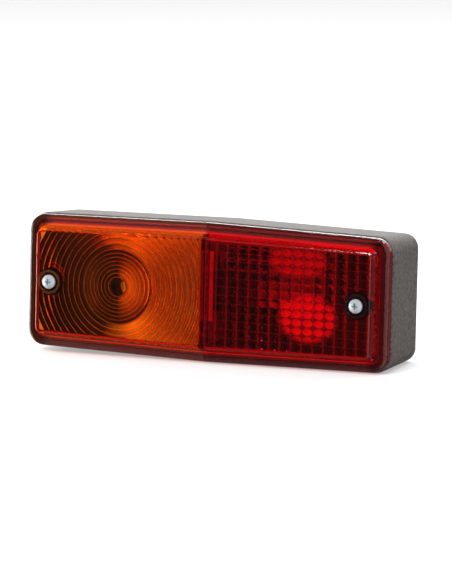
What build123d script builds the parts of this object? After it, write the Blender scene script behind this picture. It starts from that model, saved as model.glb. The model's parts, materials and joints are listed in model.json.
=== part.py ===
from build123d import *
import math
import os

os.makedirs("parts", exist_ok=True)

# Two-chamber rear lamp: amber turn half on the left, red tail and stop half on the right.
# Modelled with x to the right, y up and z towards the lens, from the rear mounting face;
# every piece is turned at the end so that the lens faces -Y and +Z is up. Sizes in mm.

# Housing
LENGTH = 198.0
HEIGHT_MID = 71.0
HEIGHT_END = 67.6
HOUSING_DEPTH = 38.0
CORNER_R = 9.0
DRAFT = 3.0
BACK_EDGE_R = 2.5
RIM_EDGE_R = 0.6
RIM_BAND = 3.0
WALL = 3.0
FLOOR = 3.0
BOSS_RISE = 4.0

# Lens
LENS_DEPTH = 11.0
LENS_INSET = 0.5
LENS_WALL = 2.4
FLANGE_T = 4.4
FLANGE_EDGE_R = 2.4
FLANGE_W = 5.4
STEP_LEAN = 2.0
STEP_WALL = 1.2
PLATEAU_CORNER_R = 5.0
PLATEAU_EDGE_R = 0.8
SKIRT_T = 1.8
SKIRT_DEPTH = 2.0
SKIRT_GAP = 0.3
SEAM_WALL = 1.8
GASKET_T = 0.8
GASKET_INSET = 0.9
GASKET_W = 2.0

# Ring optics of the amber half
CORE_R = 4.8
FINE_PITCH = 2.0
FINE_RINGS = 7
COARSE_PITCH = 2.9
TOOTH_BASE = 0.15
CORE_RISE = 0.6
FACET_STEP = 4.5
FACET_MAX = 40.0
RISER_LEAN = 0.12
RING_LAND = 0.3

# Pillow optics of the red half
PILLOW_PITCH_X = 5.86
PILLOW_PITCH_Y = 4.25
PILLOW_GAP = 0.2
PILLOW_RISE = 0.95
PILLOW_START = 12.5

# Lens screws and the pillars that they pass through
SCREW_FROM_END = 15.1
SCREW_HEAD_D = 7.0
SCREW_HEAD_H = 2.3
SCREW_D = 3.5
SCREW_REACH = 26.0
RECESS_W = 4.0
RECESS_SLOT = 0.95
RECESS_DEPTH = 1.5
HEAD_RIM_H = 0.9
SCREW_TIP = 1.0
SCREW_HOLE_SPARE = 2.0
SPOT_DEPTH = 0.5
SPOT_GAP = 0.6
HOLE_GAP = 0.35
THREAD_GAP = 0.05
PILLAR_D = 14.4
TOWER_D = 9.0
TOWER_DROP = 4.0
RIB_T = 2.0
RIB_DROP = 3.0

# Mounting bolts
BOLT_SPACING = 60.0
BOLT_D = 6.0
BOLT_LENGTH = 22.0
BOLT_HEAD_AF = 10.0
BOLT_HEAD_H = 4.0
BOLT_GAP = 0.2
BOLT_TIP = 0.8
BOLT_COLLAR_D = 7.0
POCKET_WALL = 2.4

# Cable grommet
CABLE_X = 20.0
CABLE_FROM_EDGE = 15.5
CABLE_D = 7.0
GROMMET_NECK_D = 11.0
GROMMET_FLANGE_D = 16.0
GROMMET_FLANGE_T = 2.0
GROMMET_LIP_T = 1.6
GROMMET_LIP_D = 15.0
GROMMET_GAP = 0.15
GROMMET_SEAT = 3.0
GROMMET_WALL = 2.0

# Reflector plate and socket bracket
REFLECTOR_L = 42.0
REFLECTOR_H = 48.0
REFLECTOR_T = 0.8
REFLECTOR_LIP = 4.0
PAD_D = 6.0
REFLECTOR_PAD_INSET = 5.0
BRACKET_T = 1.2
BRACKET_H = 52.0
FOLD_H = 35.0
FOLD_UP = 3.0
BRACKET_FOOT = 15.0
BRACKET_LIP = 3.0
BRACKET_GAP = 1.0
FOOT_SCREW_X = 9.0
FOOT_SCREW_Y = 11.0
FOOT_SCREW_REACH = 7.0
FOOT_HOLE_SPARE = 0.4
EARTH_L = 58.0
EARTH_W = 12.0
EARTH_NECK_L = 24.0
EARTH_NECK_W = 4.0
EARTH_Y = 15.5
EARTH_T = 0.8
EARTH_TAB_H = 9.0
BLADE_W = 6.3
BLADE_H = 9.0
BLADE_HOLE_D = 1.6
STAKE_D = 3.0
STAKE_GAP = 0.1
STAKE_INSET = 8.0

# Sockets, bulbs and contacts
BULB_AXIS = 24.0
SLEEVE_PAST_PIN = 4.5
SLEEVE_T = 0.6
SLEEVE_FLANGE_W = 3.4
SLEEVE_FLANGE_T = 0.8
RIVET_D = 2.0
RIVET_HEAD_D = 3.2
RIVET_HEAD_H = 0.8
INSULATOR_T = 1.6
INSULATOR_GAP = 0.1
CONTACT_T = 0.5
CONTACT_W = 4.8
CONTACT_SPRING = 3.35
CONTACT_NOSE = 2.5
TWIN_W = 3.6
TWIN_OFFSET = 3.4
BLADE_OUT = 9.0
LOOP_GAP = 0.6
WINDOW_GAP = 0.7
CAP_D = 15.0
CAP_GAP = 0.15
CAP_L = 18.2
CAP_EDGE_R = 1.2
PIN_D = 2.0
PIN_OUT = 1.5
PIN_FROM_TIP = 9.1
PIN_GAP = 0.15
PIN_STAGGER = 3.0
SLOT_TURN = 28.0
SLOT_HOOK = 1.0
TIP_H = 1.2
TIP_D = 4.0
TWIN_TIP_D = 3.2
TIP_EDGE_R = 0.9
FILAMENT_FROM_PIN = 31.8
NECK_D = 12.4
NECK_IN = 4.0
NECK_GAP = 0.1
FLARE_R = 8.0
GLOBE_BACK = 1.5
GLASS_D = 25.0
GLASS_T = 0.8
STEM_D = 5.0
STEM_L = 9.0
LEAD_D = 0.7
LEAD_PITCH = 4.3
COIL_D = 1.0

# How far fused forms run into each other, and how far cuts run past a face or a piece
MERGE = 0.5
OVERCUT = 1.0
FAR = 400.0

# Levels along z
JOINT_Z = HOUSING_DEPTH
RIM_BOTTOM = JOINT_Z - RIM_BAND
LENS_BACK = JOINT_Z + GASKET_T
FLANGE_Z = LENS_BACK + FLANGE_T
FRONT_Z = JOINT_Z + LENS_DEPTH
INNER_Z = FRONT_Z - LENS_WALL
UNDER_FLANGE = FLANGE_Z - LENS_WALL
TOWER_TOP = JOINT_Z - TOWER_DROP
BOSS_TOP = FLOOR + BOSS_RISE
REFLECTOR_TOP = BOSS_TOP + REFLECTOR_T
FOOT_TOP = REFLECTOR_TOP + BRACKET_T

# Insets from the housing's front edge
STEP_INSET = LENS_INSET + FLANGE_W
PLATEAU_INSET = STEP_INSET + STEP_LEAN
CAVITY_INSET = PLATEAU_INSET + STEP_WALL
SKIRT_INSET = WALL + SKIRT_GAP

# Places that several pieces share
SCREW_X = LENGTH / 2 - SCREW_FROM_END
CABLE_Y = CABLE_FROM_EDGE - HEIGHT_MID / 2
SLEEVE_R = CAP_D / 2 + CAP_GAP + SLEEVE_T
SLEEVE_BORE_R = CAP_D / 2 + CAP_GAP
PLATE_FACE = BRACKET_T / 2
CONTACT_X = PLATE_FACE + INSULATOR_T
TIP_X = CONTACT_X + CONTACT_SPRING
PIN_X = TIP_X + PIN_FROM_TIP
CAP_X = TIP_X + TIP_H
CAP_END = CAP_X + CAP_L
NECK_X = CAP_END - NECK_IN
STEM_END = NECK_X + GLASS_T + STEM_L
FILAMENT_X = PIN_X + FILAMENT_FROM_PIN
RING_X = -FILAMENT_X
SLEEVE_END = PIN_X + SLEEVE_PAST_PIN
RIVET_R = SLEEVE_R + SLEEVE_FLANGE_W / 2
STAKE_PLACES = (EARTH_NECK_L + STAKE_INSET, EARTH_L - STAKE_INSET)


def outline(inset, z, corner=CORNER_R, least=2.0):
    """Barrel-shaped face of the lamp at a level, drawn in from the housing's front edge."""
    slope = (HEIGHT_MID - HEIGHT_END) / LENGTH
    half = LENGTH / 2 - inset
    mid = HEIGHT_MID / 2 - inset
    end = mid - slope * half
    points = [(-half, -end), (0, -mid), (half, -end), (half, end), (0, mid), (-half, end)]
    face = make_face(Polyline(*points, close=True))
    corners = [v for v in face.vertices() if abs(v.X) > half / 2]
    return Pos(0, 0, z) * fillet(corners, max(corner - inset, least))


def prism(inset, low, high, corner=CORNER_R, least=2.0):
    """Straight block of the outline between two levels."""
    return extrude(outline(inset, low, corner, least), high - low)


def drafted(inset, wide_z, lean, narrow_z, corner=CORNER_R, least=2.0):
    """Block of the outline that leans in from its wide level to its narrow one."""
    height = abs(narrow_z - wide_z)
    angle = math.degrees(math.atan2(lean, height))
    form = extrude(outline(inset, 0, corner, least), height, taper=angle)
    if narrow_z < wide_z:
        form = Rot(180, 0, 0) * form
    return Pos(0, 0, wide_z) * form


def rod(d, low, high, x=0.0, y=0.0):
    """Round bar along z."""
    return Pos(x, y, (low + high) / 2) * Cylinder(d / 2, high - low)


def block(x0, x1, y0, y1, z0, z1):
    """Rectangular block between two corners."""
    size = (x1 - x0, y1 - y0, z1 - z0)
    return Pos((x0 + x1) / 2, (y0 + y1) / 2, (z0 + z1) / 2) * Box(*size)


def along_x(d, x0, x1, y=0.0, z=BULB_AXIS):
    """Round bar along x."""
    return Pos((x0 + x1) / 2, y, z) * Rot(0, 90, 0) * Cylinder(d / 2, x1 - x0)


def edges_at(shape, z):
    """Edges that lie wholly at one level."""
    return [e for e in shape.edges() if all(abs(v.Z - z) < 1e-4 for v in e.vertices())]


def edges_across(shape, x):
    """Edges that lie wholly at one place along x."""
    return [e for e in shape.edges() if all(abs(v.X - x) < 1e-4 for v in e.vertices())]


def draft_inset(z):
    """How far the drafted wall has come in at a level behind the rim band."""
    return (RIM_BOTTOM - z) * math.tan(math.radians(DRAFT))


def housing():
    rim = prism(0, RIM_BOTTOM, JOINT_Z)
    rim = fillet(edges_at(rim, JOINT_Z), RIM_EDGE_R)
    body = drafted(0, RIM_BOTTOM, draft_inset(0), 0)
    body = rim + fillet(edges_at(body, 0), BACK_EDGE_R)
    body -= prism(WALL, RIM_BOTTOM, JOINT_Z + OVERCUT)
    body -= drafted(WALL, RIM_BOTTOM, draft_inset(FLOOR), FLOOR)
    pocket_d = 2 * (BOLT_HEAD_AF / math.sqrt(3) + POCKET_WALL)
    seat_top = GROMMET_FLANGE_T + GROMMET_SEAT
    thread_d = SCREW_D + 2 * THREAD_GAP
    foot_hole = FOOT_TOP - FOOT_SCREW_REACH - FOOT_HOLE_SPARE
    for x in (-SCREW_X, SCREW_X):
        wall_x = math.copysign(LENGTH / 2 - WALL, x)
        rib = block(min(x, wall_x), max(x, wall_x), -RIB_T / 2, RIB_T / 2, FLOOR / 2, TOWER_TOP - RIB_DROP)
        body += rod(TOWER_D, FLOOR / 2, TOWER_TOP, x) + rib
    for x in (-BOLT_SPACING / 2, BOLT_SPACING / 2):
        body += rod(pocket_d, FLOOR / 2, BOSS_TOP, x)
    for y in (-FOOT_SCREW_Y, FOOT_SCREW_Y):
        body += rod(TOWER_D, FLOOR / 2, BOSS_TOP, -FOOT_SCREW_X, y)
    pad_y = REFLECTOR_H / 2 - REFLECTOR_PAD_INSET
    for y in (-pad_y, pad_y):
        body += rod(PAD_D, FLOOR / 2, BOSS_TOP, REFLECTOR_PAD_INSET - REFLECTOR_L, y)
    for x in STAKE_PLACES:
        body += rod(PAD_D, FLOOR / 2, BOSS_TOP, x, EARTH_Y)
        body += rod(STAKE_D, FLOOR / 2, BOSS_TOP + EARTH_T, x, EARTH_Y)
    body += rod(GROMMET_FLANGE_D + 2 * GROMMET_WALL, FLOOR / 2, seat_top, CABLE_X, CABLE_Y)
    for x in (-SCREW_X, SCREW_X):
        body -= rod(thread_d, FRONT_Z - SCREW_REACH - SCREW_HOLE_SPARE, JOINT_Z, x)
    for y in (-FOOT_SCREW_Y, FOOT_SCREW_Y):
        body -= rod(thread_d, foot_hole, BOSS_TOP + OVERCUT, -FOOT_SCREW_X, y)
    hexagon = RegularPolygon(BOLT_HEAD_AF / 2 + BOLT_GAP, 6, major_radius=False)
    for x in (-BOLT_SPACING / 2, BOLT_SPACING / 2):
        body -= Pos(x, 0, FLOOR) * extrude(hexagon, BOSS_RISE + OVERCUT)
        body -= rod(BOLT_COLLAR_D + 2 * BOLT_GAP, -OVERCUT, FLOOR + OVERCUT, x)
    body -= rod(GROMMET_FLANGE_D + 2 * GROMMET_GAP, -OVERCUT, GROMMET_FLANGE_T, CABLE_X, CABLE_Y)
    body -= rod(GROMMET_NECK_D + 2 * GROMMET_GAP, -OVERCUT, seat_top + OVERCUT, CABLE_X, CABLE_Y)
    return body


def cable_grommet():
    seat_top = GROMMET_FLANGE_T + GROMMET_SEAT
    ring = rod(GROMMET_FLANGE_D, 0, GROMMET_FLANGE_T) + rod(GROMMET_NECK_D, 0, seat_top)
    ring += rod(GROMMET_LIP_D, seat_top, seat_top + GROMMET_LIP_T)
    ring -= rod(CABLE_D, -OVERCUT, seat_top + GROMMET_LIP_T + OVERCUT)
    return Pos(CABLE_X, CABLE_Y, 0) * ring


def mounting_bolts():
    hexagon = RegularPolygon(BOLT_HEAD_AF / 2, 6, major_radius=False)
    shank = rod(BOLT_D, FLOOR - BOLT_LENGTH, FLOOR)
    bolt = chamfer(edges_at(shank, FLOOR - BOLT_LENGTH), BOLT_TIP)
    bolt += rod(BOLT_COLLAR_D, 0, FLOOR + MERGE)
    bolt += Pos(0, 0, FLOOR) * extrude(hexagon, BOLT_HEAD_H)
    return [Pos(x, 0, 0) * bolt for x in (-BOLT_SPACING / 2, BOLT_SPACING / 2)]


def lens_gasket():
    ring = prism(GASKET_INSET, JOINT_Z, LENS_BACK)
    return ring - prism(GASKET_INSET + GASKET_W, JOINT_Z - OVERCUT, LENS_BACK + OVERCUT)


def crown(r, base, apex):
    """Arc from an apex on the axis out to a radius, on a circle whose centre is on the axis."""
    rise = apex - base
    big = (r * r + rise * rise) / (2 * rise)
    half = math.asin(r / abs(big)) / 2
    mid = (abs(big) * math.sin(half), apex - big * (1 - math.cos(half)))
    return ThreePointArc((0, apex), mid, (r, base))


def pan_screw(seat, reach):
    """Pan-head cross-recess screw standing on a seat level, its shank going down from it."""
    top = seat + SCREW_HEAD_H
    r = SCREW_HEAD_D / 2
    rim = seat + HEAD_RIM_H
    side = Polyline((r, rim), (r, seat), (0, seat), (0, top))
    head = revolve(make_face(Plane.XZ * (crown(r, rim, top) + side)), Axis.Z)
    half = RECESS_W / 2
    tip = RECESS_SLOT / 2
    low = -RECESS_DEPTH
    high = OVERCUT
    outer = [(half, 0), (half, high), (-half, high), (-half, 0)]
    side_view = Polyline((-tip, low), (tip, low), *outer, close=True)
    arm = extrude(make_face(Plane.XZ * side_view), tip, both=True)
    head -= Pos(0, 0, top) * (arm + Rot(0, 0, 90) * arm)
    shank = rod(SCREW_D, seat - reach, seat)
    return head + chamfer(edges_at(shank, seat - reach), SCREW_TIP)


def lens_screws():
    screw = pan_screw(FRONT_Z - SPOT_DEPTH, SCREW_REACH - SPOT_DEPTH)
    return [Pos(x, 0, 0) * screw for x in (-SCREW_X, SCREW_X)]


def hollow(grow):
    """Space behind the raised face of the lens, grown all round and towards the front."""
    height = INNER_Z - UNDER_FLANGE + grow
    lean = STEP_LEAN * height / (INNER_Z - UNDER_FLANGE)
    inset = CAVITY_INSET - STEP_LEAN - grow
    return drafted(inset, UNDER_FLANGE, lean, UNDER_FLANGE + height, PLATEAU_CORNER_R + STEP_INSET)


def lens_shell():
    """Both lens halves in one, hollow, with the wall that parts the chambers at the seam."""
    base = prism(LENS_INSET, LENS_BACK, FLANGE_Z)
    base = fillet(edges_at(base, FLANGE_Z), FLANGE_EDGE_R)
    corner = PLATEAU_CORNER_R + STEP_INSET
    plateau = drafted(STEP_INSET, FLANGE_Z, STEP_LEAN, FRONT_Z, corner)
    plateau = fillet(edges_at(plateau, FRONT_Z), PLATEAU_EDGE_R)
    skirt = prism(SKIRT_INSET, JOINT_Z - SKIRT_DEPTH, LENS_BACK + MERGE)
    well = hollow(0) - block(-SEAM_WALL, SEAM_WALL, -FAR, FAR, UNDER_FLANGE, FRONT_Z)
    mouth = prism(SKIRT_INSET + SKIRT_T, JOINT_Z - SKIRT_DEPTH - OVERCUT, UNDER_FLANGE)
    return base + plateau + skirt - mouth - well


def half_of(shape, side):
    """The part of a shape left (-1) or right (1) of the seam."""
    x0, x1 = sorted((0, side * FAR))
    return shape & block(x0, x1, -FAR, FAR, -FAR, FAR)


def with_pillar(half, side):
    """A lens half with its screw pillar, the rib to its end wall, the hole and the spot face."""
    x = side * SCREW_X
    end = side * (LENGTH / 2 - CAVITY_INSET + STEP_WALL / 2)
    half += rod(PILLAR_D, TOWER_TOP, INNER_Z + MERGE, x)
    half += block(min(x, end), max(x, end), -RIB_T / 2, RIB_T / 2, UNDER_FLANGE, INNER_Z + MERGE)
    half -= rod(SCREW_D + 2 * HOLE_GAP, 0, FAR, x)
    return half - rod(SCREW_HEAD_D + 2 * SPOT_GAP, FRONT_Z - SPOT_DEPTH, FAR, x)


def ring_optics():
    """Stepped rings on the inside of the amber half: a domed core, fine rings, coarse rings."""
    floor = INNER_Z - TOOTH_BASE
    reach = math.hypot(LENGTH / 4, HEIGHT_MID / 2)
    teeth = [(CORE_R, floor)]
    low = CORE_R
    ring = 0
    while low < reach:
        pitch = FINE_PITCH if ring < FINE_RINGS else COARSE_PITCH
        slope = min(FACET_STEP * (ring + 1), FACET_MAX)
        high = low + pitch
        rise = (pitch - RISER_LEAN - RING_LAND) * math.tan(math.radians(slope))
        teeth.append((low + RISER_LEAN, floor - rise))
        teeth.append((high - RING_LAND, floor))
        teeth.append((high, floor))
        low = high
        ring += 1
    back = [(low, INNER_Z + MERGE), (0, INNER_Z + MERGE), (0, floor - CORE_RISE)]
    core = crown(CORE_R, floor, floor - CORE_RISE)
    profile = make_face(Plane.XZ * (Polyline(*teeth, *back) + core))
    rings = Pos(RING_X, 0, 0) * revolve(profile, Axis.Z)
    return rings & hollow(MERGE) & block(-FAR, -SEAM_WALL / 2, -FAR, FAR, 0, FAR)


def pillow_optics():
    """Columns of small domed lenses on the inside of the red half, each column scalloped at its sides."""
    end = LENGTH / 2 - CAVITY_INSET
    cols = math.floor((end - PILLOW_START) / PILLOW_PITCH_X)
    rows = math.floor((HEIGHT_MID - 2 * CAVITY_INSET) / PILLOW_PITCH_Y)
    half_w = PILLOW_PITCH_X / 2
    half_h = PILLOW_PITCH_Y / 2
    foot = half_w - PILLOW_GAP / 2
    r = (foot * foot + PILLOW_RISE * PILLOW_RISE) / (2 * PILLOW_RISE)
    low = INNER_Z - PILLOW_RISE
    dome = Pos(0, 0, low + r) * Rot(90, 0, 0) * Sphere(r)
    dome &= block(-half_w, half_w, -half_h, half_h, low - OVERCUT, INNER_Z + MERGE)
    middle = Pos(end - cols * half_w, 0, 0)
    places = GridLocations(PILLOW_PITCH_X, PILLOW_PITCH_Y, cols, rows)
    field = hollow(MERGE)
    return [middle * place * dome & field for place in places]


def amber_lens(shell):
    half = half_of(shell, -1) + ring_optics()
    return with_pillar(half, -1)


def red_lens(shell):
    half = half_of(shell, 1) + pillow_optics()
    return with_pillar(half, 1)


def reflector_plate():
    half_h = REFLECTOR_H / 2
    tray = block(-REFLECTOR_L, -PLATE_FACE, -half_h, half_h, BOSS_TOP, REFLECTOR_TOP + REFLECTOR_LIP)
    inner = half_h - REFLECTOR_T
    tray -= block(-FAR, FAR, -inner, inner, REFLECTOR_TOP, FRONT_Z)
    for y in (-FOOT_SCREW_Y, FOOT_SCREW_Y):
        tray -= rod(SCREW_D + 2 * HOLE_GAP, 0, FRONT_Z, -FOOT_SCREW_X, y)
    return tray


def socket_bracket():
    """Sheet partition between the chambers, folded into a foot on one side and a lip on the other."""
    low = FOLD_UP - FOLD_H / 2
    high = FOLD_UP + FOLD_H / 2
    top = UNDER_FLANGE - BRACKET_GAP
    sheet = block(-PLATE_FACE, PLATE_FACE, -BRACKET_H / 2, BRACKET_H / 2, REFLECTOR_TOP, top)
    sheet += block(-BRACKET_FOOT, PLATE_FACE, low, high, REFLECTOR_TOP, FOOT_TOP)
    sheet += block(-PLATE_FACE, PLATE_FACE + BRACKET_LIP, low, high, top - BRACKET_T, top)
    for y in (-FOOT_SCREW_Y, FOOT_SCREW_Y):
        sheet -= rod(SCREW_D + 2 * HOLE_GAP, 0, FOOT_TOP + OVERCUT, -FOOT_SCREW_X, y)
    for z in (BULB_AXIS - RIVET_R, BULB_AXIS + RIVET_R):
        sheet -= along_x(RIVET_D, -FAR, FAR, 0, z)
    return sheet


def bracket_screws():
    screw = pan_screw(FOOT_TOP, FOOT_SCREW_REACH)
    return [Pos(-FOOT_SCREW_X, y, 0) * screw for y in (-FOOT_SCREW_Y, FOOT_SCREW_Y)]


def earth_strip():
    """Sheet strip of the stop half: a tab on the bracket, a neck, a staked pad and a blade at its end."""
    top = BOSS_TOP + EARTH_T
    blade_z = top + BLADE_H
    neck = EARTH_NECK_W / 2
    pad = EARTH_W / 2
    side = BLADE_W / 2
    strip = block(PLATE_FACE, EARTH_L, -neck, neck, BOSS_TOP, top)
    strip += block(EARTH_NECK_L, EARTH_L, -pad, pad, BOSS_TOP, top)
    strip += block(PLATE_FACE, PLATE_FACE + EARTH_T, -neck, neck, BOSS_TOP, top + EARTH_TAB_H)
    blade = block(EARTH_L - EARTH_T, EARTH_L, -side, side, BOSS_TOP, blade_z)
    strip += blade - along_x(BLADE_HOLE_D, 0, FAR, 0, blade_z - side)
    for x in STAKE_PLACES:
        strip -= rod(STAKE_D + 2 * STAKE_GAP, 0, FRONT_Z, x)
    return Pos(0, EARTH_Y, 0) * strip


def socket_rivets():
    outer = PLATE_FACE + SLEEVE_FLANGE_T
    rivets = []
    for z in (BULB_AXIS - RIVET_R, BULB_AXIS + RIVET_R):
        rivet = along_x(RIVET_D, -outer - RIVET_HEAD_H / 2, outer + RIVET_HEAD_H / 2, 0, z)
        rivet += along_x(RIVET_HEAD_D, outer, outer + RIVET_HEAD_H, 0, z)
        rivet += along_x(RIVET_HEAD_D, -outer - RIVET_HEAD_H, -outer, 0, z)
        rivets.append(rivet)
    return rivets


def bayonet_slot(side, pin_x):
    """Entry, turn and lock of one bayonet slot; side says at which end of the z axis it is."""
    w = PIN_D + 2 * PIN_GAP
    deep = pin_x - w / 2 - SLOT_HOOK
    reach = SLEEVE_R + OVERCUT
    entry = block(pin_x - w / 2, SLEEVE_END + OVERCUT, -w / 2, w / 2, 0, reach)
    entry = Rot(SLOT_TURN, 0, 0) * (entry + block(deep, pin_x, -w / 2, w / 2, 0, reach))
    lock = block(deep, pin_x + w / 2, -w / 2, w / 2, 0, reach)
    disc = along_x(2 * reach, deep, deep + w, 0, 0)
    wedge = disc & block(deep, deep + w, -reach, 0, 0, reach)
    wedge &= Rot(SLOT_TURN - 90, 0, 0) * block(deep, deep + w, -reach, reach, -reach, reach)
    far = Rot(SLOT_TURN, 0, 0) * block(deep, deep + w, 0, reach, -reach, reach)
    slot = entry + lock + (wedge & far)
    turn = 0 if side > 0 else 180
    return Pos(0, 0, BULB_AXIS) * Rot(turn, 0, 0) * slot


def socket(pin_front, pin_back, exits):
    """Bayonet sleeve of the right-hand side, flanged onto the bracket."""
    sleeve = along_x(2 * SLEEVE_R, PLATE_FACE, SLEEVE_END)
    sleeve += along_x(2 * (SLEEVE_R + SLEEVE_FLANGE_W), PLATE_FACE, PLATE_FACE + SLEEVE_FLANGE_T)
    sleeve -= along_x(2 * SLEEVE_BORE_R, 0, SLEEVE_END + OVERCUT)
    for z in (BULB_AXIS - RIVET_R, BULB_AXIS + RIVET_R):
        sleeve -= along_x(RIVET_D, 0, FAR, 0, z)
    sleeve -= bayonet_slot(1, pin_front)
    sleeve -= bayonet_slot(-1, pin_back)
    for y_side, z, w in exits:
        y0, y1 = sorted((0, y_side * FAR))
        half_w = w / 2 + WINDOW_GAP
        high = CONTACT_X + CONTACT_T + WINDOW_GAP
        sleeve -= block(PLATE_FACE + SLEEVE_FLANGE_T, high, y0, y1, z - half_w, z + half_w)
    return sleeve


def insulator():
    return along_x(2 * (SLEEVE_BORE_R - INSULATOR_GAP), PLATE_FACE, CONTACT_X)


def contact(y_side, z, w):
    """Springy brass strip: a flat on the insulator, a loop up to the bulb, a blade outside."""
    t = CONTACT_T
    x0 = CONTACT_X
    x1 = TIP_X
    room = math.sqrt(SLEEVE_BORE_R**2 - (abs(z - BULB_AXIS) + w / 2) ** 2)
    mid = (x0 + x1) / 2
    bulge = (x1 - x0) / 2
    back = bulge + LOOP_GAP - room
    out = SLEEVE_R + BLADE_OUT
    outer = Polyline((x0, back), (x0, out), (x0 + t, out), (x0 + t, back))
    inner = ThreePointArc((x0 + t, back), (mid, back - bulge + t), (x1 - t, back))
    arm = Polyline((x1 - t, back), (x1 - t, CONTACT_NOSE), (x1, CONTACT_NOSE), (x1, back))
    loop = ThreePointArc((x1, back), (mid, back - bulge), (x0, back))
    strip = extrude(make_face(outer + inner + arm + loop), w)
    strip = Pos(0, 0, z - w / 2) * strip
    return strip if y_side > 0 else mirror(strip, Plane.XZ)


def bulb_cap(pin_front, pin_back, tips):
    cap = along_x(CAP_D, CAP_X, CAP_END)
    cap = fillet(edges_across(cap, CAP_X), CAP_EDGE_R)
    cap -= along_x(NECK_D + 2 * NECK_GAP, NECK_X, CAP_END + OVERCUT)
    reach = CAP_D / 2 + PIN_OUT
    cap += rod(PIN_D, BULB_AXIS + CAP_D / 4, BULB_AXIS + reach, pin_front)
    cap += rod(PIN_D, BULB_AXIS - reach, BULB_AXIS - CAP_D / 4, pin_back)
    for z, d in tips:
        tip = along_x(d, TIP_X, CAP_X + MERGE, 0, z)
        cap += fillet(edges_across(tip, TIP_X), TIP_EDGE_R)
    return cap


def envelope(grow):
    """Pear-shaped solid of the bulb's glass: a neck, a hollow flare and a globe."""
    neck = NECK_D / 2 + grow
    globe = GLASS_D / 2 + grow
    flare = FLARE_R - grow
    start = NECK_X - grow
    centre = FILAMENT_X - GLOBE_BACK
    lean = math.asin((neck + flare) / (globe + flare))
    flare_x = centre - (globe + flare) * math.cos(lean)
    meet = (centre - globe * math.cos(lean), globe * math.sin(lean))
    half = lean / 2 + math.pi / 4
    flare_mid = (flare_x + flare * math.cos(half), neck + flare - flare * math.sin(half))
    base = Polyline((centre + globe, 0), (start, 0), (start, neck), (flare_x, neck))
    hollow = ThreePointArc((flare_x, neck), flare_mid, meet)
    crown = ThreePointArc(meet, (centre, globe), (centre + globe, 0))
    return Pos(0, 0, BULB_AXIS) * revolve(make_face(base + hollow + crown), Axis.X)


def bulb_glass():
    glass = envelope(0) - envelope(-GLASS_T)
    return glass + along_x(STEM_D, NECK_X + GLASS_T / 2, STEM_END)


def filament():
    """Two leads standing on the stem, with a coil between their ends."""
    wire = along_x(LEAD_D, STEM_END, FILAMENT_X, -LEAD_PITCH / 2)
    wire += along_x(LEAD_D, STEM_END, FILAMENT_X, LEAD_PITCH / 2)
    return wire + Pos(FILAMENT_X, 0, BULB_AXIS) * Rot(90, 0, 0) * Cylinder(COIL_D / 2, LEAD_PITCH + LEAD_D)


def to_left(shape):
    return mirror(shape, Plane.YZ)


def save(name, shape):
    pieces = shape if isinstance(shape, list) else [shape]
    solids = [s for piece in pieces for s in (Rot(90, 0, 0) * piece).solids()]
    export_step(solids[0] if len(solids) == 1 else Compound(solids), f"parts/{name}.step")


shell = lens_shell()
one_exit = [(1, BULB_AXIS, CONTACT_W)]
stop_z = BULB_AXIS + TWIN_OFFSET
tail_z = BULB_AXIS - TWIN_OFFSET
two_exits = [(1, stop_z, TWIN_W), (-1, tail_z, TWIN_W)]

save("housing", housing())
save("cable_grommet", cable_grommet())
save("mounting_bolts", mounting_bolts())
save("lens_gasket", lens_gasket())
save("amber_lens", amber_lens(shell))
save("red_lens", red_lens(shell))
save("lens_screws", lens_screws())
save("reflector_plate", reflector_plate())
save("socket_bracket", socket_bracket())
save("bracket_screws", bracket_screws())
save("earth_strip", earth_strip())
save("socket_rivets", socket_rivets())
save("turn_socket", to_left(socket(PIN_X, PIN_X, one_exit)))
save("stop_socket", socket(PIN_X, PIN_X + PIN_STAGGER, two_exits))
save("turn_insulator", to_left(insulator()))
save("stop_insulator", insulator())
save("turn_contact", to_left(contact(1, BULB_AXIS, CONTACT_W)))
save("stop_contact", contact(1, stop_z, TWIN_W))
save("tail_contact", contact(-1, tail_z, TWIN_W))
save("turn_bulb_cap", to_left(bulb_cap(PIN_X, PIN_X, [(BULB_AXIS, TIP_D)])))
save("stop_bulb_cap", bulb_cap(PIN_X, PIN_X + PIN_STAGGER, [(stop_z, TWIN_TIP_D), (tail_z, TWIN_TIP_D)]))
save("turn_bulb_glass", to_left(bulb_glass()))
save("stop_bulb_glass", bulb_glass())
save("turn_filament", to_left(filament()))
save("stop_filament", filament())
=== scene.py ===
import json
import math

import bpy
from mathutils import Matrix, Vector


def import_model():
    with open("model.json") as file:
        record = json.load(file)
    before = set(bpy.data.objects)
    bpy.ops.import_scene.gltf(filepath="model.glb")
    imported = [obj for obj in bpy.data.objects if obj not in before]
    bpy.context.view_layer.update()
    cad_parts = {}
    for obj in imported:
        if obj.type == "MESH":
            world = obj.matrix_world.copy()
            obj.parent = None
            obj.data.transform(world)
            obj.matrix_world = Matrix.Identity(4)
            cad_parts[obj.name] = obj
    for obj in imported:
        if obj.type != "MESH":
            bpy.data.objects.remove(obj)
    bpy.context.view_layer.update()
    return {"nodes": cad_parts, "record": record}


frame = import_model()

NODES = frame["nodes"]
SCENE = bpy.context.scene
SCENE.view_settings.view_transform = "Standard"

# All places and lengths are in metres and all angles in degrees.
# A fade is four numbers: where it starts, where it ends, and its value at the start and at the end.
# Stops are pairs of a place from 0 to 1 and the value there.

# Camera, fitted to the photograph; pixels are those of a 452 x 584 image
IMAGE_W = 452
IMAGE_CENTRE = (226.0, 292.0)
YAW = 24.1
PITCH = 7.14
ROLL = 1.39
FOCAL_PX = 4826.0
DISTANCE = 2.41
SENSOR_W = 36.0
CLIP_NEAR = 0.05
CLIP_FAR = 50.0
AIM = Vector((0, -0.038, 0))
AIM_PX = (209.2, 291.6)

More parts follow.
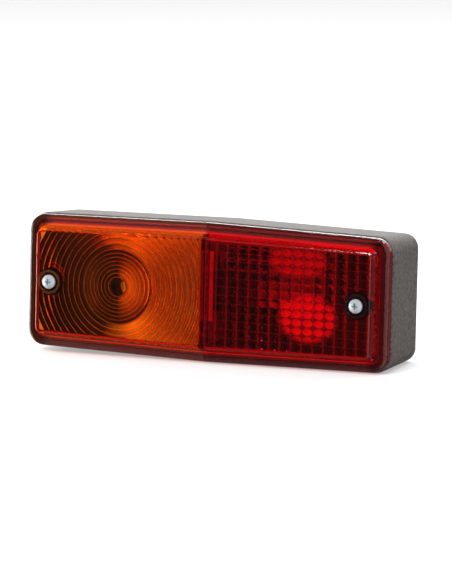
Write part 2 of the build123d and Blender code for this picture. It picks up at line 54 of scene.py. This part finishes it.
# Sizes of the part that its finish needs
HALF_LENGTH = 0.099
HALF_HEIGHT = 0.0355
END_SLOPE = 0.01717
SCREW_X = 0.0839
CAVITY_INSET = 0.0091

# The lamp rests on the drafted underside of its red half
REST_POINT = Vector((0, -0.035, -0.0355))
REST_SLOPE_X = END_SLOPE
REST_SLOPE_Y = 0.0524
FLOOR_SIZE = 8.0
FLOOR_TONES = ((0.62, 0.62, 0.62), (0.64, 0.64, 0.64))
FLOOR_MOTTLE = 3.0
FLOOR_GLOW = 0.34

# Brightness of the room by direction, as fades
WORLD_DARK = 0.06
WORLD_UP = (0.06, 0.34, WORLD_DARK, 0.15)
WORLD_RIGHT = (0.05, 0.45, WORLD_DARK, 1.05)
WORLD_RIGHT_BACK = (0.0, 0.4, 1.0, 0.2)
WORLD_LEFT = (-0.7, -0.92, WORLD_DARK, 5.0)
WORLD_LEFT_TOP = (0.0, 0.25, 1.0, 0.0)
WORLD_DOWN = (-0.25, -0.6, WORLD_DARK, 0.3)
WORLD_BACK = (0.35, 0.75, 0.0, 4.6)
WORLD_BACK_FOOT = (0.02, 0.2, 0.0, 1.0)
WORLD_BACK_TOP = (0.44, 0.62, 1.0, 0.0)
WORLD_BACK_RIGHT = (-0.15, 0.25, 1.0, 0.3)

# Lamps: name, size, direction from the part, distance, watts, and whether gloss and glass show the lamp
LAMPS = (
    ("softbox", (1.3, 0.5), Vector((0.12, 0.62, 1.25)), 1.5, 18.5, True),
    ("front", (0.8, 0.8), Vector((-0.25, -0.75, 0.6)), 1.6, 24.0, False),
    ("side", (1.5, 1.5), Vector((-0.95, -0.15, 0.12)), 1.5, 22.0, False),
)

# Finishes in general
WHITE = (1, 1, 1, 1)
NOISE_LOW = 0.3
NOISE_HIGH = 0.7
WEAR_SCALE = 60.0
TINT_GAIN = 60.0
SMOOTHED = ("amber_lens", "red_lens", "lens_screws", "housing")
SMOOTH_ANGLE = 35.0
MERGE_DISTANCE = 1e-7

# Border of both lenses, painted glow: cloudiness that the lamps light on the rear of the flange, the walls
# behind the step and the screw seat, and a painted white sheen on the flange
REAR_LEVEL = -0.0425
FLANGE_END = 0.0069
FLANGE_GLOW = (0.003, 0.0059, 0.0, 0.7)
FLANGE_ENDS = (0.086, 0.091, 1.0, 0.15)
STEP_FOOT_Y = -0.0432
STEP_SLOPE = 0.345
WELL_INSETS = (0.0069, 0.0084)
STEEP = 0.6
STEP_GLOW = (-0.0472, -0.0432, 0.02, 0.4)
GRAIN_SCALE = 1500.0
GRAIN_DETAIL = 1.0
GRAIN_ROUGH = 0.4
GRAIN_STRETCH = (1.0, 0.03, 1.0)
GRAIN_RANGE = (0.7, 1.3)
GLOW_HEIGHTS = (0.0, 0.02)
AMBER_LOW = 0.6
RED_LOW = 1.0
FLANGE_LEVELS = (-0.0436, -0.0428)
AMBER_SHEEN = 0.015
RED_SHEEN = 0.008
FRONT_LEVEL = -0.0478
SEAT_REACH = 0.0078
SEAT_BY_RADIUS = ((0.6, 0.0), (0.68, 1.0), (0.74, 1.0), (0.8, 0.0))
AMBER_SEAT = 0.06
RED_SEAT = 0.01

# Heights at which the optics of both lenses lie
OPTIC_LEVELS = (-0.0475, -0.042)

# Ring optics, painted glow: bright lines at the edges of the rings, glow of the facets by radius, side and
# height, and lit corners, all as cloudiness that the lamps light
RING_X = -0.04645
CORE_R = 0.0048
FIRST_LINE = 0.0045
FINE_PITCH = 0.002
FINE_END = 0.0188
COARSE_PITCH = 0.0029
RING_LINE = ((0.0, 1.0), (0.1, 1.0), (0.22, 0.0), (0.9, 0.0), (1.0, 1.0))
RING_LINE_SHARE = 0.2
GLOW_REACH = 0.05
CORE_GLOW_BY_RADIUS = ((0.1, 0.0), (0.12, 1.0), (0.18, 0.8), (0.28, 0.35), (0.37, 0.0))
CORE_GLOW_BY_SIDE = ((0.5, 0.0), (0.78, 0.8), (1.0, 1.0))
CORE_GLOW_SHARE = 0.5
GLOW_BY_RADIUS = ((0.38, 0.0), (0.395, 1.0), (0.42, 0.8), (0.47, 0.54), (0.64, 0.34), (1.0, 0.18))
GLOW_BY_HEIGHT = (0.012, -0.022, 0.8, 1.35)
GLOW_BY_SIDE = ((0.34, 0.0), (0.5, 0.35), (0.72, 1.0), (0.85, 0.65), (0.95, 0.2), (1.0, 0.12))
GLOW_SHARE = 0.62
CORNER_R = 0.0475
CORNER_END = -0.075
CORNER_SHARE = 0.7

# Pillow optics: grid, two patches of painted glow as centre, half sizes and share, and painted bright lines
# between the pillows
PILLOW_END = 0.0899
PILLOW_TOP = 0.0255
PILLOW_PITCH = (0.00586, 0.00425)
PILLOW_BY_RADIUS = ((0.0, 1.0), (0.35, 1.0), (0.52, 0.12), (1.0, 0.0))
PATCHES = (((0.0576, -0.0085), (0.016, 0.012), 0.95), ((0.0516, 0.0198), (0.016, 0.0085), 0.48))
PATCH_EDGE = (0.75, 1.1, 1.0, 0.0)
PILLOW_LINE = ((0.0, 1.0), (0.05, 1.0), (0.12, 0.0), (0.88, 0.0), (0.95, 1.0), (1.0, 1.0))
COLUMN_LINE_SHARE = 0.12
ROW_LINE_SHARE = 0.06

# Painted glow of the stop bulb by height: haze that brightens its lower side
BULB_GLOW = (0.0, -0.006, 0.03, 0.4)

# Cross recess in the domed head of a lens screw, darkened with painted shade
RECESS_R = 0.0021
RECESS_LEVEL = -0.05062
HEAD_CURVE = 98.4

# Inside of the housing, darkened with painted shade
INSIDE_INSET = 0.0028
CORNER_ROOM = 0.004
INSIDE_LEVELS = (-0.0375, -0.0028)


def camera():
    """Camera at the photograph's own place."""
    yaw = math.radians(YAW)
    pitch = math.radians(PITCH)
    roll = math.radians(ROLL)
    right = Vector((math.cos(yaw), math.sin(yaw), 0))
    away = Vector((-math.sin(yaw) * math.cos(pitch), math.cos(yaw) * math.cos(pitch), -math.sin(pitch)))
    up = right.cross(away)
    right, up = (
        math.cos(roll) * right + math.sin(roll) * up,
        math.cos(roll) * up - math.sin(roll) * right,
    )
    metres = DISTANCE / FOCAL_PX
    place = AIM - DISTANCE * away
    place += (IMAGE_CENTRE[0] - AIM_PX[0]) * metres * right
    place += (AIM_PX[1] - IMAGE_CENTRE[1]) * metres * up
    data = bpy.data.cameras.new("camera")
    data.sensor_fit = "HORIZONTAL"
    data.sensor_width = SENSOR_W
    data.lens = FOCAL_PX * SENSOR_W / IMAGE_W
    data.clip_start = CLIP_NEAR
    data.clip_end = CLIP_FAR
    cam = bpy.data.objects.new("camera", data)
    SCENE.collection.objects.link(cam)
    turn = Matrix((right, up, -away)).transposed()
    cam.matrix_world = Matrix.Translation(place) @ turn.to_4x4()
    SCENE.camera = cam


def new_material(name):
    """Empty node material, its node tree and its output."""
    mat = bpy.data.materials.new(name)
    mat.use_nodes = True
    tree = mat.node_tree
    tree.nodes.clear()
    out = tree.nodes.new("ShaderNodeOutputMaterial")
    return mat, tree, out


def node(tree, kind, **values):
    """A shader node with some of its sockets set, by socket name with spaces as underscores."""
    made = tree.nodes.new("ShaderNode" + kind)
    for key, value in values.items():
        made.inputs[key.replace("_", " ")].default_value = value
    return made


def noise(tree, scale, detail=3.0, rough=0.55, stretch=(1.0, 1.0, 1.0)):
    """Noise in object space, with its scale in features per metre."""
    place = tree.nodes.new("ShaderNodeTexCoord")
    turn = node(tree, "Mapping", Scale=stretch)
    tex = node(tree, "TexNoise", Scale=scale, Detail=detail, Roughness=rough)
    tree.links.new(place.outputs["Object"], turn.inputs["Vector"])
    tree.links.new(turn.outputs["Vector"], tex.inputs["Vector"])
    return tex.outputs["Fac"]


def between(tree, factor, low, high):
    """Colour that goes from one to another over the middle of a noise's range."""
    made = tree.nodes.new("ShaderNodeValToRGB")
    for element, place, colour in zip(made.color_ramp.elements, (NOISE_LOW, NOISE_HIGH), (low, high)):
        element.position = place
        element.color = (*colour, 1)
    tree.links.new(factor, made.inputs["Fac"])
    return made.outputs["Color"]


def spread(tree, factor, low, high):
    """Value that goes from one number to another over the middle of a noise's range."""
    made = node(tree, "MapRange", From_Min=NOISE_LOW, From_Max=NOISE_HIGH, To_Min=low, To_Max=high)
    tree.links.new(factor, made.inputs["Value"])
    return made.outputs["Result"]


def mixed(tree, factor, first, second):
    """Colour mixed from two, each a colour socket or a plain colour."""
    made = tree.nodes.new("ShaderNodeMix")
    made.data_type = "RGBA"
    tree.links.new(factor, made.inputs["Factor"])
    for key, colour in (("A", first), ("B", second)):
        if isinstance(colour, tuple):
            made.inputs[key].default_value = colour
        else:
            tree.links.new(colour, made.inputs[key])
    return made.outputs["Result"]


def finish_surface(name, low, high, rough, scale, bump=0.0, bump_scale=0.0, dark=None, where=None, **values):
    """Principled material with mottled colour, uneven roughness and a fine relief, darker in one place as
    painted shade.
    """
    mat, tree, out = new_material(name)
    shader = node(tree, "BsdfPrincipled", **values)
    mottle = noise(tree, scale)
    colour = between(tree, mottle, low, high)
    if dark:
        colour = mixed(tree, where(tree), colour, (*dark, 1))
    tree.links.new(colour, shader.inputs["Base Color"])
    tree.links.new(spread(tree, mottle, *rough), shader.inputs["Roughness"])
    if bump:
        relief = node(tree, "Bump", Distance=bump)
        tree.links.new(noise(tree, bump_scale), relief.inputs["Height"])
        tree.links.new(relief.outputs["Normal"], shader.inputs["Normal"])
    tree.links.new(shader.outputs["BSDF"], out.inputs["Surface"])
    return mat


def calc(tree, operation, first, second=0.0):
    """Math node on sockets or plain numbers."""
    made = tree.nodes.new("ShaderNodeMath")
    made.operation = operation
    for socket, value in zip(made.inputs, (first, second)):
        if isinstance(value, (int, float)):
            socket.default_value = value
        else:
            tree.links.new(value, socket)
    return made.outputs[0]


def ramp(tree, factor, stops):
    """Value that follows a factor from 0 to 1 through a list of stops."""
    made = tree.nodes.new("ShaderNodeValToRGB")
    elements = made.color_ramp.elements
    while len(elements) < len(stops):
        elements.new(1.0)
    for element, (place, value) in zip(elements, stops):
        element.position = place
        element.color = (value, value, value, 1)
    tree.links.new(factor, made.inputs["Fac"])
    return made.outputs["Color"]


def fade(tree, value, start, end, low, high):
    """Value taken smoothly from one number to another between two places."""
    made = node(tree, "MapRange", From_Min=start, From_Max=end, To_Min=low, To_Max=high)
    made.interpolation_type = "SMOOTHSTEP"
    tree.links.new(value, made.inputs["Value"])
    return made.outputs["Result"]


def product(tree, *values):
    """All the values multiplied."""
    result = values[0]
    for value in values[1:]:
        result = calc(tree, "MULTIPLY", result, value)
    return result


def total(tree, *values):
    """All the values added."""
    result = values[0]
    for value in values[1:]:
        result = calc(tree, "ADD", result, value)
    return result


def within(tree, value, low, high):
    """1 between two numbers and 0 outside them."""
    above = calc(tree, "GREATER_THAN", value, low)
    return product(tree, above, calc(tree, "LESS_THAN", value, high))


def span(tree, first, second):
    """Length of a vector in a plane."""
    squares = [calc(tree, "POWER", value, 2.0) for value in (first, second)]
    return calc(tree, "SQRT", total(tree, *squares))


def axes(tree, vector):
    """The three numbers of a vector socket."""
    parts = tree.nodes.new("ShaderNodeSeparateXYZ")
    tree.links.new(vector, parts.inputs["Vector"])
    return parts.outputs["X"], parts.outputs["Y"], parts.outputs["Z"]


def object_place(tree):
    """The three object coordinates of a place on a piece."""
    return axes(tree, tree.nodes.new("ShaderNodeTexCoord").outputs["Object"])


def face_normal(tree):
    """The three numbers of a face's own normal."""
    return axes(tree, tree.nodes.new("ShaderNodeNewGeometry").outputs["True Normal"])


def edge_inset(tree, x, z):
    """How far a place lies in from the lamp's outline."""
    along = calc(tree, "ABSOLUTE", x)
    edge = calc(tree, "SUBTRACT", HALF_HEIGHT, calc(tree, "MULTIPLY", along, END_SLOPE))
    to_edge = calc(tree, "SUBTRACT", edge, calc(tree, "ABSOLUTE", z))
    return calc(tree, "MINIMUM", calc(tree, "SUBTRACT", HALF_LENGTH, along), to_edge)


def from_screw(tree, x, z):
    """How far a place lies from the axis of the nearer lens screw."""
    return span(tree, calc(tree, "SUBTRACT", calc(tree, "ABSOLUTE", x), SCREW_X), z)


def optic_face(tree, x, y, z):
    """1 on the optics inside a lens and 0 elsewhere."""
    inner = calc(tree, "GREATER_THAN", edge_inset(tree, x, z), CAVITY_INSET)
    return product(tree, within(tree, y, *OPTIC_LEVELS), inner)


def lens_painted_glow(tree, flange_sheen, low_share, seat_share):
    """Painted glow on the border of a lens: how cloudy it is, in its own tint and in white, so that the lamps
    light it there.
    """
    x, y, z = object_place(tree)
    inset = edge_inset(tree, x, z)
    height = fade(tree, z, *GLOW_HEIGHTS, low_share, 1.0)
    ends = fade(tree, calc(tree, "ABSOLUTE", x), *FLANGE_ENDS)
    rear = calc(tree, "GREATER_THAN", y, REAR_LEVEL)
    outer = calc(tree, "LESS_THAN", inset, FLANGE_END)
    flange = product(tree, rear, outer, fade(tree, inset, *FLANGE_GLOW), height, ends)
    lean = calc(tree, "MULTIPLY", calc(tree, "SUBTRACT", y, STEP_FOOT_Y), STEP_SLOPE)
    wall = within(tree, calc(tree, "ADD", inset, lean), *WELL_INSETS)
    steep = calc(tree, "LESS_THAN", calc(tree, "ABSOLUTE", face_normal(tree)[1]), STEEP)
    grain = spread(tree, noise(tree, GRAIN_SCALE, GRAIN_DETAIL, GRAIN_ROUGH, GRAIN_STRETCH), *GRAIN_RANGE)
    step = product(tree, wall, steep, fade(tree, y, *STEP_GLOW), height, grain)
    front = calc(tree, "LESS_THAN", y, FRONT_LEVEL)
    from_axis = calc(tree, "DIVIDE", from_screw(tree, x, z), SEAT_REACH)
    seat = product(tree, front, ramp(tree, from_axis, SEAT_BY_RADIUS), seat_share)
    # Painted white sheen on the flange
    sheen = product(tree, within(tree, y, *FLANGE_LEVELS), ends, flange_sheen)
    return total(tree, flange, step, seat), sheen


def ring_lines(tree, radius, start, pitch, where):
    """Lines at the edges of rings of one pitch, in one part of the lens."""
    count = calc(tree, "DIVIDE", calc(tree, "SUBTRACT", radius, start), pitch)
    return product(tree, ramp(tree, calc(tree, "FRACT", count), RING_LINE), where, RING_LINE_SHARE)


def ring_painted_glow(tree):
    """Painted glow of the amber lens, as cloudiness that the lamps light: its border, the ring edges, and the
    facets on the side of the seam.
    """
    x, y, z = object_place(tree)
    across = calc(tree, "SUBTRACT", x, RING_X)
    radius = span(tree, across, z)
    reach = calc(tree, "DIVIDE", radius, GLOW_REACH)
    side = calc(tree, "ADD", calc(tree, "MULTIPLY", calc(tree, "DIVIDE", across, radius), 0.5), 0.5)
    glow = product(tree, ramp(tree, reach, GLOW_BY_RADIUS), ramp(tree, side, GLOW_BY_SIDE),
                   fade(tree, z, *GLOW_BY_HEIGHT), GLOW_SHARE)
    core = product(tree, ramp(tree, reach, CORE_GLOW_BY_RADIUS), ramp(tree, side, CORE_GLOW_BY_SIDE),
                   CORE_GLOW_SHARE)
    far = calc(tree, "GREATER_THAN", radius, CORNER_R)
    corner = product(tree, far, calc(tree, "LESS_THAN", x, CORNER_END), CORNER_SHARE)
    fine = ring_lines(tree, radius, CORE_R, FINE_PITCH, within(tree, radius, FIRST_LINE, FINE_END))
    coarse = ring_lines(tree, radius, FINE_END, COARSE_PITCH, calc(tree, "GREATER_THAN", radius, FINE_END))
    optics = optic_face(tree, x, y, z)
    border, sheen = lens_painted_glow(tree, AMBER_SHEEN, AMBER_LOW, AMBER_SEAT)
    tinted = product(tree, optics, total(tree, core, fine))
    white = product(tree, optics, total(tree, glow, corner, coarse))
    return total(tree, border, tinted), total(tree, sheen, white)


def pillow_painted_glow(tree):
    """Painted glow of the red lens, as cloudiness that the lamps light: its border, the lines between the
    pillows, and two patches of pillows.
    """
    x, y, z = object_place(tree)
    column, row = (
        calc(tree, "FRACT", calc(tree, "DIVIDE", calc(tree, "SUBTRACT", start, value), pitch))
        for start, value, pitch in zip((PILLOW_END, PILLOW_TOP), (x, z), PILLOW_PITCH))
    middle = span(tree, calc(tree, "SUBTRACT", column, 0.5), calc(tree, "SUBTRACT", row, 0.5))
    patches = []
    for (mid_x, mid_z), (half_x, half_z), share in PATCHES:
        away = span(tree, calc(tree, "DIVIDE", calc(tree, "SUBTRACT", x, mid_x), half_x),
                    calc(tree, "DIVIDE", calc(tree, "SUBTRACT", z, mid_z), half_z))
        patches.append(product(tree, fade(tree, away, *PATCH_EDGE), share))
    dome = product(tree, ramp(tree, middle, PILLOW_BY_RADIUS), total(tree, *patches))
    columns = product(tree, ramp(tree, column, PILLOW_LINE), COLUMN_LINE_SHARE)
    rows = product(tree, ramp(tree, row, PILLOW_LINE), ROW_LINE_SHARE)
    border, sheen = lens_painted_glow(tree, RED_SHEEN, RED_LOW, RED_SEAT)
    white = product(tree, optic_face(tree, x, y, z), total(tree, dome, columns, rows))
    return border, total(tree, sheen, white)


def bulb_painted_glow(tree):
    """Painted glow of the stop bulb's glass: haze, thicker towards its lower side; it has no tinted part."""
    return None, fade(tree, object_place(tree)[2], *BULB_GLOW)


def recess_shade(tree):
    """1 in the cross recess of a lens screw, which painted shade darkens, and 0 elsewhere."""
    x, y, z = object_place(tree)
    from_axis = from_screw(tree, x, z)
    dome = calc(tree, "MULTIPLY", calc(tree, "POWER", from_axis, 2.0), HEAD_CURVE)
    below = calc(tree, "GREATER_THAN", calc(tree, "SUBTRACT", y, dome), RECESS_LEVEL)
    return product(tree, calc(tree, "LESS_THAN", from_axis, RECESS_R), below)


def gasket_end_shade(tree):
    """How dark the gasket is, as painted shade, by how near its two ends it lies."""
    along = calc(tree, "ABSOLUTE", object_place(tree)[0])
    return calc(tree, "SUBTRACT", 1.0, fade(tree, along, *FLANGE_ENDS))


def inner_shade(tree):
    """1 on the inner walls of the housing, which painted shade darkens, and 0 on its outside."""
    x, y, z = object_place(tree)
    normal_x, _, normal_z = face_normal(tree)
    facing = total(tree, product(tree, normal_x, x), product(tree, normal_z, z))
    outward = calc(tree, "GREATER_THAN", facing, 0.0)
    limit = calc(tree, "ADD", calc(tree, "MULTIPLY", outward, CORNER_ROOM), INSIDE_INSET)
    deep = calc(tree, "GREATER_THAN", edge_inset(tree, x, z), limit)
    return product(tree, within(tree, y, *INSIDE_LEVELS), deep)


def clear_plastic(name, rough, ior, tint=None, density=0.0, painted_glow=None, glow_tint=None):
    """Clear plastic or glass: refracting, coloured by its depth, cloudy in places as painted glow, open to
    the lamps.
    """
    mat, tree, out = new_material(name)
    shader = node(tree, "BsdfPrincipled", Base_Color=WHITE, IOR=ior, Transmission_Weight=1.0)
    # Painted glow: where its mask is high the surface turns diffuse in its tint, and the lamps light it
    if painted_glow:
        border, share = painted_glow(tree)
        if border:
            tinted = calc(tree, "MINIMUM", calc(tree, "MULTIPLY", border, TINT_GAIN), 1.0)
            tree.links.new(mixed(tree, tinted, WHITE, (*glow_tint, 1)), shader.inputs["Base Color"])
            share = calc(tree, "ADD", border, share)
        tree.links.new(calc(tree, "SUBTRACT", 1.0, share), shader.inputs["Transmission Weight"])
    tree.links.new(spread(tree, noise(tree, WEAR_SCALE), *rough), shader.inputs["Roughness"])
    path = tree.nodes.new("ShaderNodeLightPath")
    open_way = node(tree, "BsdfTransparent", Color=WHITE)
    mix = tree.nodes.new("ShaderNodeMixShader")
    tree.links.new(path.outputs["Is Shadow Ray"], mix.inputs["Fac"])
    tree.links.new(shader.outputs["BSDF"], mix.inputs[1])
    tree.links.new(open_way.outputs["BSDF"], mix.inputs[2])
    tree.links.new(mix.outputs["Shader"], out.inputs["Surface"])
    if density:
        depth = node(tree, "VolumeAbsorption", Color=(*tint, 1), Density=density)
        tree.links.new(depth.outputs["Volume"], out.inputs["Volume"])
    return mat


def finishes():
    """Each finish by its name, which is a material slot's apart from the darker sheet of painted shade and
    the bulb glass with painted glow.
    """
    return {
        # The housing is darker on its inner walls with painted shade
        "housing_plastic": finish_surface(
            "housing_plastic", (0.045, 0.04, 0.037), (0.16, 0.144, 0.134), rough=(0.55, 0.7), scale=700.0,
            bump=0.00016, bump_scale=2200.0, dark=(0.03, 0.027, 0.025), where=inner_shade, Specular_IOR_Level=0.2),
        # The amber lens carries painted glow on its rings and border
        "amber_lens": clear_plastic(
            "amber_lens", rough=(0.02, 0.04), ior=1.49, tint=(0.985, 0.7, 0.0), density=800.0,
            painted_glow=ring_painted_glow, glow_tint=(1.0, 0.42, 0.1)),
        # The red lens carries painted glow on its pillows and border
        "red_lens": clear_plastic(
            "red_lens", rough=(0.02, 0.04), ior=1.49, tint=(0.958, 0.0, 0.3), density=1200.0,
            painted_glow=pillow_painted_glow, glow_tint=(1.0, 0.15, 0.25)),
        # The lens screws are darker in their cross recess with painted shade
        "zinc_steel": finish_surface(
            "zinc_steel", (0.4, 0.45, 0.48), (0.5, 0.55, 0.58), rough=(0.42, 0.55), scale=900.0,
            bump=0.00002, bump_scale=1500.0, dark=(0.3, 0.38, 0.42), where=recess_shade, Metallic=0.4),
        # Darker copy of the sheet metal, for the reflector plate as painted shade
        "painted_shade_sheet": finish_surface(
            "painted_shade_sheet", (0.08, 0.08, 0.082), (0.12, 0.12, 0.123), rough=(0.6, 0.75), scale=120.0,
            bump=0.00004, bump_scale=300.0, Metallic=1.0),
        "bright_sheet": finish_surface(
            "bright_sheet", (0.6, 0.6, 0.61), (0.93, 0.93, 0.93), rough=(0.45, 0.6), scale=260.0,
            bump=0.00004, bump_scale=300.0, Metallic=0.4),
        "brass": finish_surface(
            "brass", (0.16, 0.11, 0.05), (0.22, 0.15, 0.07), rough=(0.45, 0.6), scale=500.0,
            bump=0.00002, bump_scale=1200.0, Metallic=1.0),
        "insulator": finish_surface(
            "insulator", (0.16, 0.08, 0.04), (0.26, 0.14, 0.07), rough=(0.5, 0.7), scale=900.0,
            bump=0.00005, bump_scale=1800.0),
        "clear_glass": clear_plastic("clear_glass", rough=(0.03, 0.06), ior=1.5),
        # Bulb glass with haze towards its lower side as painted glow
        "painted_glow_glass": clear_plastic("painted_glow_glass", rough=(0.15, 0.25), ior=1.5, painted_glow=bulb_painted_glow),
        "filament_wire": finish_surface(
            "filament_wire", (0.42, 0.42, 0.44), (0.55, 0.55, 0.57), rough=(0.3, 0.45), scale=2000.0,
            Metallic=1.0),
        "dull_steel": finish_surface(
            "dull_steel", (0.05, 0.05, 0.053), (0.09, 0.09, 0.095), rough=(0.5, 0.65), scale=500.0,
            bump=0.00003, bump_scale=900.0, Metallic=1.0),
        # The gasket is darker towards its ends with painted shade
        "foam": finish_surface(
            "foam", (0.11, 0.11, 0.105), (0.16, 0.16, 0.15), rough=(0.8, 0.95), scale=900.0,
            bump=0.0001, bump_scale=1500.0, dark=(0.05, 0.05, 0.048), where=gasket_end_shade),
        "rubber": finish_surface(
            "rubber", (0.02, 0.02, 0.02), (0.035, 0.035, 0.034), rough=(0.65, 0.8), scale=800.0,
            bump=0.00006, bump_scale=1600.0),
    }


def dress(materials):
    """Gives every CAD node the finish of its slot, and two of them one of their own: painted glow on the stop
    bulb's glass and painted shade on the reflector plate.
    """
    for piece in frame["record"]["subparts"]:
        obj = NODES[piece["node"]]
        obj.data.materials.clear()
        obj.data.materials.append(materials[piece["material_slot"]])
    # The stop bulb's glass gets the glass with painted glow
    NODES["stop_bulb_glass"].data.materials[0] = materials["painted_glow_glass"]
    # The reflector plate gets the darker sheet, as painted shade
    NODES["reflector_plate"].data.materials[0] = materials["painted_shade_sheet"]


def smooth(obj):
    """Rounds the shading of a CAD node's curved faces and keeps its edges sharp."""
    tree = bpy.data.node_groups.new("smooth_" + obj.name, "GeometryNodeTree")
    tree.interface.new_socket("Geometry", in_out="INPUT", socket_type="NodeSocketGeometry")
    tree.interface.new_socket("Geometry", in_out="OUTPUT", socket_type="NodeSocketGeometry")
    start = tree.nodes.new("NodeGroupInput")
    end = tree.nodes.new("NodeGroupOutput")
    edge = tree.nodes.new("GeometryNodeInputMeshEdgeAngle")
    flat = tree.nodes.new("FunctionNodeCompare")
    flat.operation = "LESS_EQUAL"
    flat.inputs["B"].default_value = math.radians(SMOOTH_ANGLE)
    merge = tree.nodes.new("GeometryNodeMergeByDistance")
    merge.inputs["Distance"].default_value = MERGE_DISTANCE
    edges = tree.nodes.new("GeometryNodeSetShadeSmooth")
    edges.domain = "EDGE"
    faces = tree.nodes.new("GeometryNodeSetShadeSmooth")
    faces.domain = "FACE"
    tree.links.new(edge.outputs["Unsigned Angle"], flat.inputs["A"])
    tree.links.new(start.outputs[0], merge.inputs["Geometry"])
    tree.links.new(merge.outputs["Geometry"], faces.inputs["Geometry"])
    tree.links.new(faces.outputs["Geometry"], edges.inputs["Geometry"])
    tree.links.new(flat.outputs["Result"], edges.inputs["Shade Smooth"])
    tree.links.new(edges.outputs["Geometry"], end.inputs[0])
    obj.modifiers.new("smooth", "NODES").node_group = tree
    weigh = obj.modifiers.new("weigh", "WEIGHTED_NORMAL")
    weigh.keep_sharp = True
    weigh.mode = "CORNER_ANGLE"


def floor():
    """Pale floor under the lamp, lifted to white for the camera alone; gloss and glass don't show it."""
    normal = Vector((-REST_SLOPE_X, -REST_SLOPE_Y, 1)).normalized()
    half = FLOOR_SIZE / 2
    mesh = bpy.data.meshes.new("floor")
    corners = [(-half, -half, 0), (half, -half, 0), (half, half, 0), (-half, half, 0)]
    mesh.from_pydata(corners, [], [(0, 1, 2, 3)])
    obj = bpy.data.objects.new("floor", mesh)
    SCENE.collection.objects.link(obj)
    obj.matrix_world = Matrix.Translation(REST_POINT) @ normal.to_track_quat("Z", "Y").to_matrix().to_4x4()
    mat, tree, out = new_material("floor")
    paper = node(tree, "BsdfDiffuse")
    tree.links.new(between(tree, noise(tree, FLOOR_MOTTLE), *FLOOR_TONES), paper.inputs["Color"])
    path = tree.nodes.new("ShaderNodeLightPath")
    white = node(tree, "Emission", Color=WHITE, Strength=FLOOR_GLOW)
    none = node(tree, "Emission", Strength=0.0)
    lift = tree.nodes.new("ShaderNodeMixShader")
    both = tree.nodes.new("ShaderNodeAddShader")
    tree.links.new(path.outputs["Is Camera Ray"], lift.inputs["Fac"])
    tree.links.new(none.outputs["Emission"], lift.inputs[1])
    tree.links.new(white.outputs["Emission"], lift.inputs[2])
    tree.links.new(paper.outputs["BSDF"], both.inputs[0])
    tree.links.new(lift.outputs["Shader"], both.inputs[1])
    tree.links.new(both.outputs["Shader"], out.inputs["Surface"])
    mesh.materials.append(mat)
    obj.visible_glossy = False
    obj.visible_transmission = False


def world():
    """Room that is white to the camera and lights the lamp by direction."""
    data = bpy.data.worlds.new("studio")
    data.use_nodes = True
    SCENE.world = data
    tree = data.node_tree
    tree.nodes.clear()
    out = tree.nodes.new("ShaderNodeOutputWorld")
    path = tree.nodes.new("ShaderNodeLightPath")
    seen = node(tree, "Background", Color=WHITE, Strength=1.0)
    light = node(tree, "Background", Color=WHITE)
    mix = tree.nodes.new("ShaderNodeMixShader")
    x, y, z = axes(tree, tree.nodes.new("ShaderNodeTexCoord").outputs["Generated"])
    level = product(tree, fade(tree, y, *WORLD_BACK), fade(tree, x, *WORLD_BACK_RIGHT),
                    fade(tree, z, *WORLD_BACK_FOOT), fade(tree, z, *WORLD_BACK_TOP))
    right = product(tree, fade(tree, x, *WORLD_RIGHT), fade(tree, y, *WORLD_RIGHT_BACK))
    left = product(tree, fade(tree, x, *WORLD_LEFT), fade(tree, z, *WORLD_LEFT_TOP))
    for part in (right, left, fade(tree, z, *WORLD_UP), fade(tree, z, *WORLD_DOWN)):
        level = calc(tree, "MAXIMUM", level, part)
    tree.links.new(level, light.inputs["Strength"])
    tree.links.new(path.outputs["Is Camera Ray"], mix.inputs["Fac"])
    tree.links.new(light.outputs["Background"], mix.inputs[1])
    tree.links.new(seen.outputs["Background"], mix.inputs[2])
    tree.links.new(mix.outputs["Shader"], out.inputs["Surface"])


def area_light(name, size, direction, distance, watts, mirrored):
    """Soft lamp that shines on the part."""
    data = bpy.data.lights.new(name, "AREA")
    data.shape = "RECTANGLE"
    data.size, data.size_y = size
    data.energy = watts
    obj = bpy.data.objects.new(name, data)
    SCENE.collection.objects.link(obj)
    obj.location = AIM + distance * direction.normalized()
    obj.rotation_euler = direction.to_track_quat("Z", "Y").to_euler()
    obj.visible_glossy = mirrored
    obj.visible_transmission = mirrored


camera()
dress(finishes())
for name in SMOOTHED:
    smooth(NODES[name])
floor()
world()
for lamp in LAMPS:
    area_light(*lamp)
